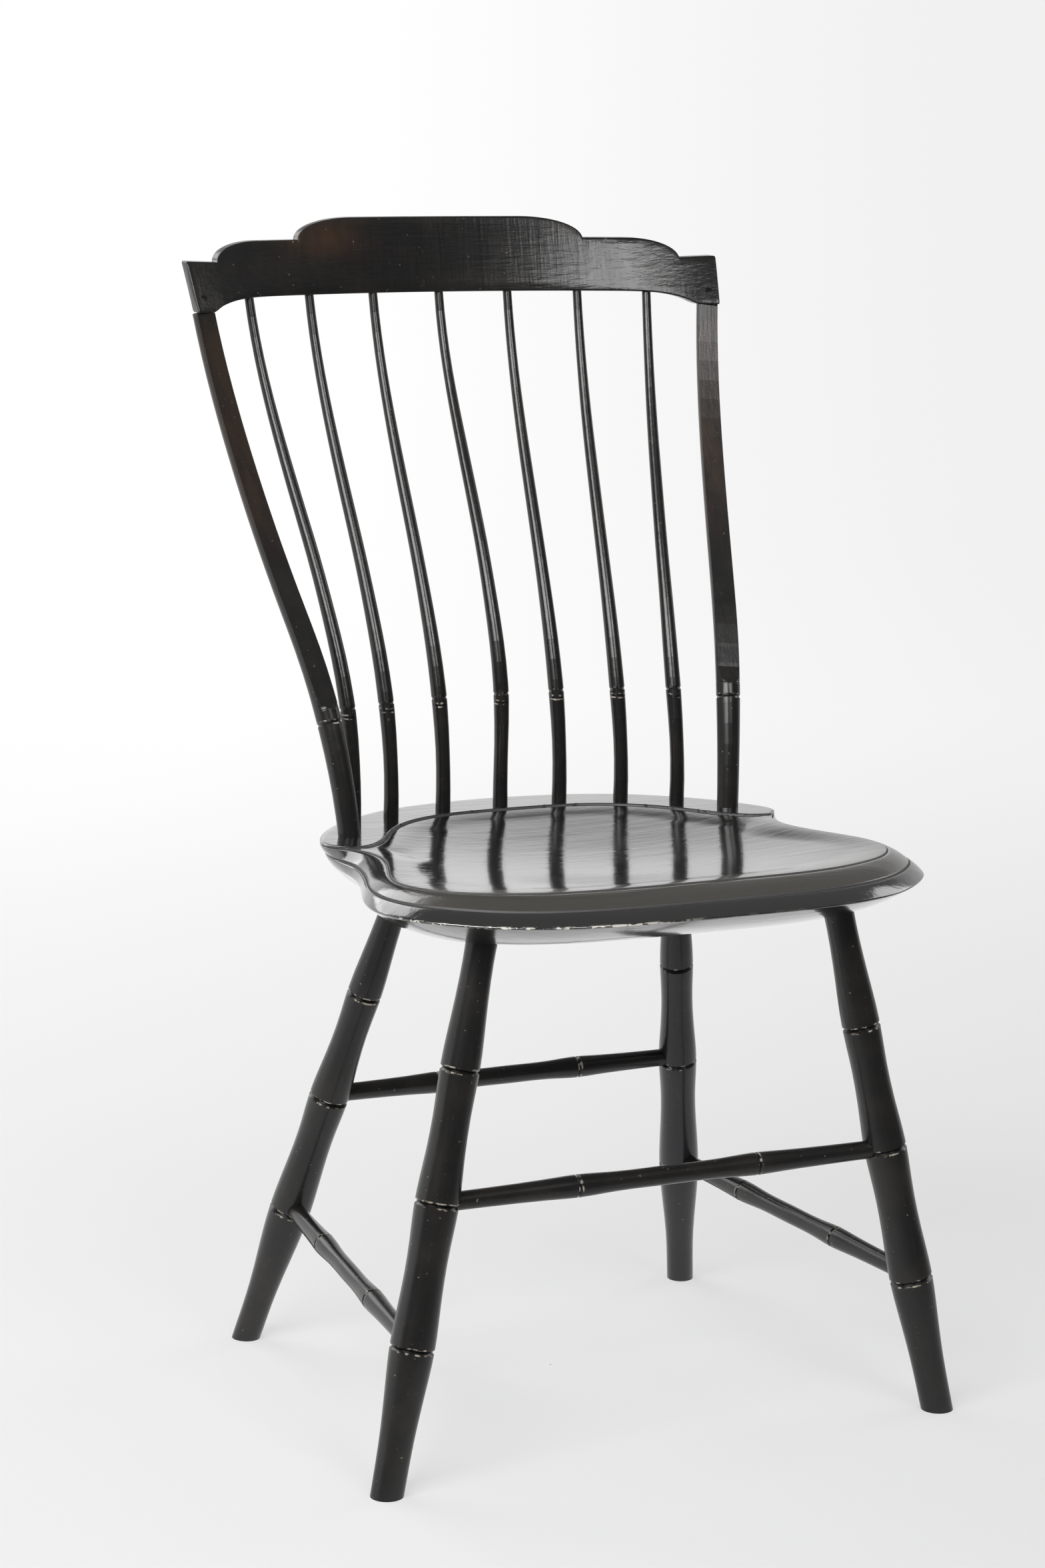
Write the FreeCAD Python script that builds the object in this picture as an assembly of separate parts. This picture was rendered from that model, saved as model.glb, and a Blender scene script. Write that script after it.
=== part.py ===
import FreeCAD, Part
import math
import os

os.makedirs("parts", exist_ok=True)

Vector = FreeCAD.Vector

# All lengths are in millimetres. While building, y = 0 is the line through the front feet.
fit_gap = 0.12
end_gap = 0.4

# Seat plank
plank_top_at_back = 426.0
plank_back_y = 311.0
plank_rise = 0.026
plank_thickness = 39.5
belly_drop = 18.5
lower_line_drop = 9.0
upper_line_drop = 1.0
rim_drop = 3.0
dish_drop = 10.0
dish_centre_y = 135.0
dish_half_width = 187.0
dish_front_length = 152.0
dish_back_length = 168.0
gutter_radius = 2.6

# Legs, all turned to one pattern
front_foot = (229.5, 1.0)
front_leg_top = (145.7, 36.4)
back_foot = (195.6, 353.0)
back_leg_top = (117.2, 237.8)
leg_socket_depth = 23.0
leg_tenon_end_radius = 9.6
front_rings = (107.0, 212.0, 309.0)
back_rings = (120.5, 223.0, 315.0)
front_ring_radii = (16.3, 16.0, 14.3)
back_ring_radii = (16.0, 15.2, 13.2)
front_foot_radius = 12.0
back_foot_radius = 10.8
front_neck_radius = 11.6
back_neck_radius = 11.0
ring_depth = 1.7
ring_half_width = 1.9

# Box stretchers
stretcher_end_radius = 6.9
stretcher_ring_radius = 8.5
stretcher_waist_radius = 7.2
side_stretcher_rise = 2.5
stretcher_tenon_short_of_axis = 4.0

# Leg wedges
wedge_width = 2.6
wedge_length = 14.0

# Spindles: foot on the seat, and top where it meets the crest
spindle_feet = [(0.0, 313.0), (50.6, 310.8), (99.7, 300.0), (139.8, 280.5)]
spindle_tops = [(0.0, 444.5), (58.8, 441.0), (117.0, 432.0), (173.0, 418.5)]
spindle_delay = [0.10, 0.014, 0.0, 0.0]
spindle_ring_height = 86.0
spindle_foot_radius = 5.9
spindle_waist_radius = 5.5
spindle_ring_radius = 6.1
spindle_top_radius = 3.5
spindle_socket_depth = 20.0
spindle_crest_depth = 18.0

# Back posts
post_foot = (162.0, 237.0)
post_ring = (171.0, 258.0)
post_top = (218.3, 398.2)
post_radius = 8.9
post_ring_radius = 9.5
post_top_radius = 8.6
post_flat = 3.4
post_tenon_radius = 4.2
post_tenon_length = 22.0
post_tenon_back = 1.2
post_socket_depth = 25.0
post_socket_radius = 6.6

# Crest rail
crest_bow_radius = 600.0
crest_top_bow_radius = 880.0
crest_middle_y = 444.5
crest_low_z = 817.5
crest_height = 58.5
crest_lean = 0.21
crest_thickness = 11.5
crest_notch = (124.2, 42.0)
crest_step = (200.5, 27.0)
crest_end_top = (229.4, 28.5)
crest_end_drop = 9.5
crest_end_tuck = 2.0
board_margin = 15.0
big_lobe_length = 50.0
small_lobe_length = 38.0
pin_radius = 2.6
crest_top_z = crest_low_z + crest_height
crest_end_low_z = crest_low_z - crest_end_drop


def seat_top(y):
    return plank_top_at_back + plank_rise * (plank_back_y - y)


def save(name, shape):
    shape.exportStep("parts/" + name + ".step")


def mirrored(shape):
    return shape.mirror(Vector(0, 0, 0), Vector(1, 0, 0))


# A closed smooth line around the seat from its right half, given front to back
def seat_line(half, drop):
    left = [(-x, y) for x, y in reversed(half[1:-1])]
    points = [Vector(x, y, seat_top(y) - drop) for x, y in half + left]
    curve = Part.BSplineCurve()
    curve.interpolate(points, PeriodicFlag=True)
    cuts = [4, 8, 12, 16, 19, 22, 26, 30, 34]
    marks = [curve.FirstParameter] + [curve.parameter(points[k]) for k in cuts] + [curve.LastParameter]
    return Part.Wire([curve.toShape(a, b) for a, b in zip(marks, marks[1:])])


# A turned length: smooth curve through (radius, height) stations, with V rings cut at given heights
def turned(stations, rings, cut_depth, cut_half_width):
    curve = Part.BSplineCurve()
    curve.interpolate([Vector(r, 0, z) for r, z in stations])
    low = Vector(0, 0, stations[0][1])
    high = Vector(0, 0, stations[-1][1])
    first = Vector(stations[0][0], 0, stations[0][1])
    last = Vector(stations[-1][0], 0, stations[-1][1])
    edges = [Part.makeLine(low, first), curve.toShape(), Part.makeLine(last, high), Part.makeLine(high, low)]
    body = Part.Face(Part.Wire(edges)).revolve(Vector(0, 0, 0), Vector(0, 0, 1), 360)
    for z in rings:
        r = radius_at(stations, z)
        corners = [(r - cut_depth, z), (r + 2, z + cut_half_width * (2 + cut_depth) / cut_depth),
                   (r + 2, z - cut_half_width * (2 + cut_depth) / cut_depth)]
        loop = Part.makePolygon([Vector(a, 0, b) for a, b in corners + corners[:1]])
        body = body.cut(Part.Face(loop).revolve(Vector(0, 0, 0), Vector(0, 0, 1), 360))
    return body


def radius_at(stations, z):
    for (r0, z0), (r1, z1) in zip(stations, stations[1:]):
        if z0 <= z <= z1:
            return r0 + (r1 - r0) * (z - z0) / (z1 - z0)
    return stations[-1][0]


# Stands a shape built along +Z on a start point, pointing at an end point
def aimed(shape, start, end):
    turn = FreeCAD.Rotation(Vector(0, 0, 1), end - start)
    placed = shape.copy()
    placed.Placement = FreeCAD.Placement(start, turn).multiply(placed.Placement)
    return placed


def along(start, end, distance):
    step = end - start
    step.normalize()
    return start + step * distance


# The two ends of a leg's centre line: on the floor, and at the seat's underside
def leg_line(front, side):
    foot = front_foot if front else back_foot
    top = front_leg_top if front else back_leg_top
    low = Vector(side * foot[0], foot[1], 0)
    high = Vector(side * top[0], top[1], seat_top(top[1]) - plank_thickness)
    return low, high


def leg_length(front):
    low, high = leg_line(front, 1)
    return (high - low).Length


def leg_stations(front, length):
    low, middle, top = front_rings if front else back_rings
    low_r, middle_r, top_r = front_ring_radii if front else back_ring_radii
    foot = front_foot_radius if front else back_foot_radius
    neck = front_neck_radius if front else back_neck_radius
    return [(foot - 0.2, -12.0), (foot, 0.0), (foot + 0.6, 0.38 * low), (low_r - 1.3, 0.76 * low), (low_r, low),
            (low_r - 1.2, low + 0.35 * (middle - low)), (middle_r - 1.1, low + 0.7 * (middle - low)),
            (middle_r, middle), (middle_r - 1.7, middle + 0.35 * (top - middle)),
            (top_r - 0.7, middle + 0.7 * (top - middle)), (top_r, top), (top_r - 1.3, top + 32.0), (neck, length)]


def make_leg(front, side):
    low, high = leg_line(front, side)
    length = leg_length(front)
    rings = front_rings if front else back_rings
    neck = front_neck_radius if front else back_neck_radius
    body = turned(leg_stations(front, length), rings, ring_depth, ring_half_width)
    tenon = Part.makeCone(neck, leg_tenon_end_radius, leg_socket_depth, Vector(0, 0, length))
    kerf = Part.makeBox(60, wedge_width, wedge_length + 1.0)
    kerf.translate(Vector(-30, -wedge_width / 2, length + leg_socket_depth - wedge_length))
    leg = aimed(body.fuse(tenon).cut(kerf), low, high)
    reach = 2 * (front_foot[0] + back_foot[1])
    leg = leg.cut(Part.makeBox(2 * reach, 2 * reach, reach, Vector(-reach, -reach, -reach)))
    for tool in leg_mortises(front, side):
        leg = leg.cut(tool)
    return leg


# One hidden wedge, filling the saw cut in a leg's top end
def make_wedge(front, side):
    low, high = leg_line(front, side)
    base = leg_length(front) + leg_socket_depth - wedge_length
    thin = wedge_width - 2 * fit_gap
    half = leg_tenon_end_radius - 1.0
    block = Part.makeBox(2 * half, thin, wedge_length - fit_gap)
    block.translate(Vector(-half, -thin / 2, base + fit_gap))
    return aimed(block, low, high)


# Leg socket in the seat, a cone a little wider and deeper than the leg's end
def leg_socket(front, side):
    low, high = leg_line(front, side)
    length = leg_length(front)
    neck = front_neck_radius if front else back_neck_radius
    slope = (neck - leg_tenon_end_radius) / leg_socket_depth
    start = length - 16.0
    wide = neck + fit_gap + slope * 16.0
    narrow = leg_tenon_end_radius + fit_gap - slope * end_gap
    cone = Part.makeCone(wide, narrow, 16.0 + leg_socket_depth + end_gap, Vector(0, 0, start))
    return aimed(cone, low, high)


# Stretcher ends: the leg at each end, which of its rings, and how far above that ring
stretchers = {
    "stretcher_front": ((True, -1), (True, 1), 1, 0.0),
    "stretcher_rear": ((False, -1), (False, 1), 1, side_stretcher_rise),
    "stretcher_left": ((True, -1), (False, -1), 0, side_stretcher_rise),
    "stretcher_right": ((True, 1), (False, 1), 0, side_stretcher_rise),
}


def stretcher_line(name):
    first, second, ring, rise = stretchers[name]
    ends = []
    for front, side in (first, second):
        rings = front_rings if front else back_rings
        ends.append(along(*leg_line(front, side), rings[ring] + rise))
    return ends


def make_stretcher(name):
    start, end = stretcher_line(name)
    length = (end - start).Length
    short = stretcher_tenon_short_of_axis
    e, b, w = stretcher_end_radius, stretcher_ring_radius, stretcher_waist_radius
    stations = [(e, short), (e, 17.0), (e + 0.3, 0.16 * length), (b - 0.5, 0.25 * length), (b, 0.30 * length),
                (w + 0.2, 0.38 * length), (w, 0.50 * length), (w + 0.2, 0.62 * length), (b, 0.70 * length),
                (b - 0.5, 0.75 * length), (e + 0.3, 0.84 * length), (e, length - 17.0), (e, length - short)]
    body = turned(stations, [0.30 * length, 0.70 * length], 1.1, 1.4)
    return aimed(body, start, end)


def leg_mortises(front, side):
    tools = []
    for name, (first, second, ring, rise) in stretchers.items():
        start, end = stretcher_line(name)
        if second == (front, side):
            start, end = end, start
        if first == (front, side) or second == (front, side):
            depth = stretcher_tenon_short_of_axis - end_gap
            tools.append(aimed(Part.makeCylinder(stretcher_end_radius + fit_gap, 40, Vector(0, 0, depth)), start, end))
    return tools


# Centre line of the bent spindles: nearly upright below the ring, swept back above it
def spindle_path(index, side):
    fx, fy = spindle_feet[index]
    tx, ty = spindle_tops[index]
    base = seat_top(fy)
    ring = base + spindle_ring_height
    rise = crest_low_z - base
    sweep = ty - fy
    late = spindle_delay[index]
    shares = [(0.0, 0.0, 0.0), (0.10, 0.0, 0.012 - 0.1 * late), (0.22, 0.02, 0.085 - 0.7 * late),
              (0.31, 0.08, 0.172 - 0.95 * late), (0.40, 0.18, 0.279 - late), (0.50, 0.31, 0.411 - late),
              (0.60, 0.47, 0.551 - 0.85 * late), (0.70, 0.63, 0.689 - 0.6 * late), (0.85, 0.85, 0.87 - 0.15 * late),
              (1.0, 1.0, 1.0)]
    return [Vector(side * (fx + a * (tx - fx)), fy + b * sweep, base + t * rise) for t, a, b in shares]


# A square frame at one share of a curve's length: the point, the way along, and a turn with no twist
def station(curve, share):
    u = curve.parameterAtDistance(share * curve.length(), curve.FirstParameter)
    u = min(max(u, curve.FirstParameter), curve.LastParameter)
    tangent = curve.tangent(u)[0]
    return curve.value(u), tangent, FreeCAD.Rotation(Vector(0, 0, 1), tangent)


def smooth_curve(path):
    curve = Part.BSplineCurve()
    curve.interpolate(path)
    return curve


def between(stations, share):
    for (s0, v0), (s1, v1) in zip(stations, stations[1:]):
        if s0 <= share <= s1:
            return v0 + (v1 - v0) * (share - s0) / (s1 - s0)
    return stations[-1][1]


# A turned bar along a curve. Radii and flats are given as (share of length, size), and a V ring is cut at one share.
def bent_bar(curve, radii, flats, facing, ring, ring_cut, steps):
    shares = [k / steps for k in range(steps + 1)]
    if ring_cut:
        half = 1.5 / curve.length()
        shares = [s for s in shares if abs(s - ring) > 1.5 * half] + [ring - half, ring, ring + half]
    shares = sorted(shares + [s for s, f in flats if 0 < s < 1])
    sections = []
    for share in shares:
        radius = between(radii, share)
        if share == ring:
            radius = radius - ring_cut
        sections.append(section(curve, share, radius, between(flats, share) if flats else None, facing))
    return Part.makeLoft(sections, True, True)


# One cross-section: a circle, or a circle with a flat on the facing side
def section(curve, share, radius, flat, facing):
    point, tangent, turn = station(curve, share)
    if flat is None:
        wire = Part.Wire([Part.Circle(Vector(0, 0, 0), Vector(0, 0, 1), radius).toShape()])
    else:
        local = turn.inverted().multVec(facing)
        middle = math.atan2(local.y, local.x)
        spread = math.acos(min(flat / radius, 0.9995))
        ends = [Vector(radius * math.cos(middle + a), radius * math.sin(middle + a), 0)
                for a in (spread, math.pi, -spread)]
        wire = Part.Wire([Part.Arc(*ends).toShape(), Part.makeLine(ends[2], ends[0])])
    wire.Placement = FreeCAD.Placement(point, turn)
    return wire


# A straight peg that carries a bar's end on into its socket
def peg(point, direction, radius, length):
    return Part.makeCylinder(radius, length, point, direction)


def end_directions(curve):
    low = curve.tangent(curve.FirstParameter)[0]
    high = curve.tangent(curve.LastParameter)[0]
    return low, high


def spindle_curve(index, side):
    return smooth_curve(spindle_path(index, side))


def make_spindle(index, side):
    ring = spindle_ring_height / (crest_low_z - seat_top(spindle_feet[index][1])) * 0.96
    waist = spindle_waist_radius
    slim = spindle_waist_radius - spindle_top_radius
    radii = [(0.0, spindle_foot_radius), (0.10, waist), (ring, spindle_ring_radius), (0.30, waist + 0.3),
             (0.44, waist - 0.2 * slim), (0.66, waist - 0.48 * slim), (0.85, waist - 0.82 * slim),
             (1.0, spindle_top_radius)]
    curve = spindle_curve(index, side)
    bar = bent_bar(curve, radii, [], None, ring, 0.7, 26)
    low, high = end_directions(curve)
    foot = curve.value(curve.FirstParameter)
    head = curve.value(curve.LastParameter)
    collar = peg(foot, low * -1, spindle_foot_radius, 2.5)
    bottom = peg(foot - low * 2.0, low * -1, spindle_foot_radius - 0.9, spindle_socket_depth - 2.0)
    top = peg(head - high * 0.5, high, spindle_top_radius - 0.3, spindle_crest_depth)
    return bar.fuse([collar, bottom, top])


def spindle_seat_socket(index, side):
    curve = spindle_curve(index, side)
    low, high = end_directions(curve)
    foot = curve.value(curve.FirstParameter)
    hole = peg(foot + low * 6.0, low * -1, spindle_foot_radius - 0.9 + fit_gap, spindle_socket_depth + 5.0 + end_gap)
    rim = peg(foot + low * 6.0, low * -1, spindle_foot_radius + fit_gap, 6.0 + 2.0 + end_gap)
    return hole.fuse(rim)


def spindle_crest_socket(index, side):
    curve = spindle_curve(index, side)
    low, high = end_directions(curve)
    head = curve.value(curve.LastParameter)
    return peg(head - high * 5.0, high, spindle_top_radius - 0.3 + fit_gap, spindle_crest_depth + 4.0 + end_gap)


def post_path(side):
    fx, fy = post_foot
    rx, ry = post_ring
    tx, ty = post_top
    base = seat_top(fy)
    ring = base + spindle_ring_height
    rise = crest_end_low_z - ring
    shares = [(0.0, 0.0, 0.0), (0.121, 0.116, 0.105), (0.291, 0.317, 0.308), (0.632, 0.68, 0.703), (1.0, 1.0, 1.0)]
    points = [(rx + a * (tx - rx), ry + b * (ty - ry), ring + t * rise) for t, a, b in shares]
    return [Vector(side * x, y, z) for x, y, z in [(fx, fy, base)] + points]


def post_curve(side):
    return smooth_curve(post_path(side))


# Direction that the shaved face of a post looks in
def post_facing(side):
    turn = math.radians(12)
    return Vector(-side * math.sin(turn), -math.cos(turn), 0)


def make_post(side):
    radii = [(0.0, post_radius - 0.5), (0.08, post_radius - 0.2), (0.215, post_ring_radius), (0.32, post_ring_radius + 0.1),
             (0.6, post_radius + 0.3), (1.0, post_top_radius)]
    flats = [(0.0, 99.0), (0.228, post_ring_radius), (0.240, 6.0), (0.262, post_flat + 0.7), (0.30, post_flat),
             (1.0, post_flat)]
    curve = post_curve(side)
    bar = bent_bar(curve, radii, flats, post_facing(side), 0.206, 0.9, 26)
    low, high = end_directions(curve)
    foot = curve.value(curve.FirstParameter)
    head = curve.value(curve.LastParameter)
    collar = peg(foot, low * -1, post_radius - 0.5, 3.5)
    bottom = peg(foot - low * 3.0, low * -1, post_socket_radius, post_socket_depth - 3.0)
    bar = bar.cut(Part.makeBox(80, 80, 40, Vector(head.x - 40, head.y - 40, crest_end_low_z - fit_gap)))
    tenon = peg(post_tenon_start(curve), high, post_tenon_radius, post_tenon_length)
    return bar.fuse([collar, bottom, tenon])


# The tenon starts a little inside the post, behind its shaved face
def post_tenon_start(curve):
    low, high = end_directions(curve)
    head = curve.value(curve.LastParameter)
    return head + Vector(0, post_tenon_back, 0) - high * 6.0


# Front view of the crest: x is measured along the bow, z is height
def crest_outline():
    nx, nz = crest_notch[0], crest_low_z + crest_notch[1]
    sx, sz = crest_step[0], crest_low_z + crest_step[1]
    ex, ez = crest_end_top[0], crest_low_z + crest_end_top[1]
    inner = post_top[0] - post_top_radius
    outer = post_top[0] + post_top_radius - crest_end_tuck
    right = [Part.makeLine(Vector(0, 0, crest_top_z), Vector(nx - big_lobe_length, 0, crest_top_z)),
             lobe(nx - big_lobe_length, crest_top_z, nx, nz),
             Part.makeLine(Vector(nx, 0, nz), Vector(sx - small_lobe_length, 0, nz)),
             lobe(sx - small_lobe_length, nz, sx, sz),
             Part.makeLine(Vector(sx, 0, sz), Vector(ex, 0, ez)),
             Part.makeLine(Vector(ex, 0, ez), Vector(outer, 0, crest_end_low_z)),
             Part.makeLine(Vector(outer, 0, crest_end_low_z), Vector(inner, 0, crest_end_low_z))]
    curve = Part.BSplineCurve()
    curve.interpolate([Vector(inner, 0, crest_end_low_z), Vector(inner - 18, 0, crest_low_z - 0.32 * crest_end_drop),
                       Vector(inner - 40, 0, crest_low_z - 0.03 * crest_end_drop),
                       Vector(inner - 70, 0, crest_low_z), Vector(inner - 150, 0, crest_low_z),
                       Vector(0, 0, crest_low_z)])
    return right + [curve.toShape()]


# A quarter of an ellipse that falls from a flat top at (x0, z0) to an upright side at (x1, z1)
def lobe(x0, z0, x1, z1):
    points = []
    for k in range(9):
        a = math.radians(90 - 10 * k)
        points.append(Vector(x0 + (x1 - x0) * math.cos(a), 0, z1 + (z0 - z1) * math.sin(a)))
    points.append(Vector(x1, 0, z1))
    curve = Part.BSplineCurve()
    curve.interpolate(points)
    return curve.toShape()


def make_crest():
    right = crest_outline()
    left = [mirrored(e) for e in right]
    edges = Part.__sortEdges__([e for s in right + left for e in s.Edges])
    face = Part.Face(Part.Wire(edges))
    face.translate(Vector(0, 330, 0))
    prism = face.extrude(Vector(0, 170, 0))
    board = bent_board()
    crest = board.common(prism)
    return crest


# The bent, leaning board that the crest is sawn from
def bent_board():
    layers = []
    half = crest_thickness / 2
    for z in (crest_end_low_z - board_margin, crest_top_z + board_margin):
        thin = half - 1.2 * (z - crest_low_z) / 100.0
        y = crest_middle_y + crest_lean * (z - crest_low_z)
        share = (z - crest_low_z) / crest_height
        radius = 1 / ((1 - share) / crest_bow_radius + share / crest_top_bow_radius)
        layers.append(arc_strip(Vector(0, y - radius, z), radius, thin))
    return Part.makeLoft(layers, True, True)


def arc_strip(centre, bow, half):
    span = math.asin(1.1 * crest_end_top[0] / bow)
    corners = []
    for radius in (bow - half, bow + half):
        row = []
        for a in (-span, 0.0, span):
            row.append(centre + Vector(radius * math.sin(a), radius * math.cos(a), 0))
        corners.append(row)
    near, far = corners
    edges = [Part.Arc(*near).toShape(), Part.makeLine(near[2], far[2]),
             Part.Arc(far[2], far[1], far[0]).toShape(), Part.makeLine(far[0], near[0])]
    return Part.Wire(edges)


def make_pin(side):
    start, direction = pin_line(side)
    return Part.makeCylinder(pin_radius, crest_thickness + 1.0, start, direction)


# The pin that locks a post's tenon runs in from the crest's back face
def pin_line(side):
    curve = post_curve(side)
    low, high = end_directions(curve)
    centre = post_tenon_start(curve) + high * 17.0
    direction = post_facing(side)
    return centre - direction * 6.4, direction


# Seat lines, right half from front to back
bottom_line = [(0, -11), (68, -10), (112, -3), (146, 12), (168, 33), (180, 58), (182, 84), (174, 112), (165, 138),
               (158, 160), (154, 182), (154, 204), (154, 222), (149, 238), (138, 258), (122, 276), (104, 291),
               (80, 306), (46, 318), (0, 323)]
belly_line = [(0, -57), (70, -56), (120, -48), (160, -31), (192, -4), (213, 25), (220, 57), (214, 92), (202, 124),
              (192, 152), (186, 180), (184, 203), (182, 220), (177, 238), (164, 261), (147, 282), (127, 300),
              (97, 320), (55, 334), (0, 340)]
lower_line = [(0, -41), (70, -40), (118, -33), (156, -17), (186, 8), (205, 36), (211, 66), (206, 98), (195, 129),
              (187, 156), (184, 182), (187, 204), (187, 220), (182, 238), (168, 262), (150, 285), (129, 304),
              (98, 325), (56, 339), (0, 345)]
upper_line = [(0, -13), (70, -12), (115, -6), (150, 7), (177, 25), (193, 50), (196, 75), (188, 103), (177, 130),
              (170, 155), (171, 180), (182, 200), (191, 215), (187, 235), (173, 261), (155, 284), (133, 305),
              (101, 326), (58, 340), (0, 346)]
gutter_half = [(0, 298), (45, 296), (80, 286), (108, 266), (130, 238), (146, 214), (163, 200), (185, 196),
               (225, 196)]


def dish_depth(x, y):
    length = dish_front_length if y < dish_centre_y else dish_back_length
    r = (x / dish_half_width) ** 2 + ((y - dish_centre_y) / length) ** 2
    return rim_drop + dish_drop * max(0.0, 1.0 - r) ** 1.5


# The space above the hollowed seat surface
def dish_space():
    rows = []
    for i in range(25):
        x = -252.0 + 21.0 * i
        rows.append([Vector(x, y, seat_top(y) - dish_depth(x, y)) for y in [-90.0 + 20.0 * j for j in range(22)]])
    surface = Part.BSplineSurface()
    surface.interpolate(rows)
    return surface.toShape().extrude(Vector(0, 0, 70))


def gutter_curve(drop):
    left = [(-x, y) for x, y in reversed(gutter_half[1:])]
    curve = Part.BSplineCurve()
    curve.interpolate([Vector(x, y, seat_top(y) - drop) for x, y in left + gutter_half])
    return curve


# Everything in front of the gutter line, from side to side
def front_region():
    curve = gutter_curve(0)
    edge = curve.toShape()
    flat = [Vector(p.x, p.y, 380) for p in edge.discretize(80)]
    corners = [Vector(245, flat[-1].y, 380), Vector(245, -85, 380), Vector(-245, -85, 380), Vector(-245, flat[0].y, 380)]
    line = Part.BSplineCurve()
    line.interpolate([Vector(x, y, 380) for x, y in [(-a, b) for a, b in reversed(gutter_half[1:])] + gutter_half])
    first, last = flat[0], flat[-1]
    loop = [line.toShape(), Part.makeLine(last, corners[0]), Part.makeLine(corners[0], corners[1]),
            Part.makeLine(corners[1], corners[2]), Part.makeLine(corners[2], corners[3]), Part.makeLine(corners[3], first)]
    return Part.Face(Part.Wire(Part.__sortEdges__(loop))).extrude(Vector(0, 0, 90))


def gutter_tool():
    return bent_bar(gutter_curve(rim_drop - 0.2), [(0.0, gutter_radius), (1.0, gutter_radius)], [], None, 0, 0, 60)


def make_seat():
    lines = [seat_line(bottom_line, plank_thickness), seat_line(belly_line, belly_drop),
             seat_line(lower_line, lower_line_drop), seat_line(upper_line, upper_line_drop)]
    seat = Part.makeLoft(lines, True, True)
    seat = seat.cut(dish_space().common(front_region()))
    seat = seat.cut(gutter_tool())
    for front in (True, False):
        for side in (-1, 1):
            seat = seat.cut(leg_socket(front, side))
    for index in range(4):
        for side in ((-1, 1) if index else (1,)):
            seat = seat.cut(spindle_seat_socket(index, side))
    for side in (-1, 1):
        curve = post_curve(side)
        low, high = end_directions(curve)
        foot = curve.value(curve.FirstParameter)
        hole = peg(foot + low * 7.0, low * -1, post_socket_radius + fit_gap, post_socket_depth + 6.0 + end_gap)
        rim = peg(foot + low * 7.0, low * -1, post_radius - 0.5 + fit_gap, 7.0 + 3.0 + end_gap)
        seat = seat.cut(hole).cut(rim)
    return seat


def finish_crest():
    crest = make_crest()
    for index in range(4):
        for side in ((-1, 1) if index else (1,)):
            crest = crest.cut(spindle_crest_socket(index, side))
    for side in (-1, 1):
        curve = post_curve(side)
        low, high = end_directions(curve)
        start = post_tenon_start(curve) - high * 4.0
        crest = crest.cut(peg(start, high, post_tenon_radius + fit_gap, post_tenon_length + 4.0 + end_gap))
        start, direction = pin_line(side)
        hole = peg(start - direction * 6.0, direction, pin_radius + fit_gap, crest_thickness + 7.0 + end_gap)
        crest = crest.cut(hole)
    return crest


def pinned_post(side):
    start, direction = pin_line(side)
    hole = peg(start - direction * 6.0, direction, pin_radius + fit_gap, crest_thickness + 7.0 + end_gap)
    return make_post(side).cut(hole)


# The right side is built, and the left is its mirror image
def build():
    parts = {"seat": make_seat(), "crest_rail": finish_crest()}
    post = pinned_post(1)
    front_leg = make_leg(True, 1)
    back_leg = make_leg(False, 1)
    parts["back_post_right"] = post
    parts["back_post_left"] = mirrored(post)
    parts["leg_front_right"] = front_leg
    parts["leg_front_left"] = mirrored(front_leg)
    parts["leg_back_right"] = back_leg
    parts["leg_back_left"] = mirrored(back_leg)
    for name in stretchers:
        parts[name] = make_stretcher(name)
    for index in range(4):
        spindle = make_spindle(index, 1)
        parts["spindle_%d" % (4 + index)] = spindle
        if index:
            parts["spindle_%d" % (4 - index)] = mirrored(spindle)
    wedges = [make_wedge(front, 1) for front in (True, False)]
    pin = make_pin(1)
    parts["leg_wedges"] = Part.makeCompound(wedges + [mirrored(w) for w in wedges])
    parts["crest_pins"] = Part.makeCompound([pin, mirrored(pin)])
    return parts


parts = build()
whole = Part.makeCompound([parts["seat"], parts["crest_rail"]]).optimalBoundingBox(False, False)
shift = Vector(0, -(whole.YMin + whole.YMax) / 2, 0)
for name, shape in parts.items():
    shape.translate(shift)
    save(name, shape)
    print(name, "valid", shape.isValid(), "solids", len(shape.Solids), "volume", round(shape.Volume / 1000, 1))
print("shift", round(shift.y, 2), "size", round(whole.XLength, 1), round(whole.YLength, 1), round(whole.ZLength, 1))
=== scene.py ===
from math import cos, pi, radians, sin

import bpy
import numpy as np
from mathutils import Matrix, Vector


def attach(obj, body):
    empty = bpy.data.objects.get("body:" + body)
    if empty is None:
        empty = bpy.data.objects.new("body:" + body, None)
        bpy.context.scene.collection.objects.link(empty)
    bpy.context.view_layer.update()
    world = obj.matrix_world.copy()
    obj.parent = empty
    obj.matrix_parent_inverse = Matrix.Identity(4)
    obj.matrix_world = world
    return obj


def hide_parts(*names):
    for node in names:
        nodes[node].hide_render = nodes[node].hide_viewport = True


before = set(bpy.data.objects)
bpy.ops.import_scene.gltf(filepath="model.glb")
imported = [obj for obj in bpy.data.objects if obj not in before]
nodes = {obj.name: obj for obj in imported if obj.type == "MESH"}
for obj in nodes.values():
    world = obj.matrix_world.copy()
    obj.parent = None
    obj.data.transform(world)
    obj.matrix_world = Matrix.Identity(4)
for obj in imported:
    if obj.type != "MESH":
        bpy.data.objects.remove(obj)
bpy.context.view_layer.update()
scene = bpy.context.scene
mm = 0.001
rowShift = -0.20234        # shapes are worked out from the front feet's row, which stands here in y
print("frame loaded:", len(nodes), "nodes")

# A standing viewer's place, in front of the chair and to its left
cameraPlace = {
    "position": (-1.32144, -2.62116, 1.05245),
    "azimuth": -26.14,      # degrees round the chair, 0 is straight in front
    "elevation": 11.36,
    "roll": 1.22,
    "lens": 90.5,           # mm
    "film": 36,             # mm along the film's long side, which is the picture's height
    "farthest": 60,         # m
}


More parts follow.
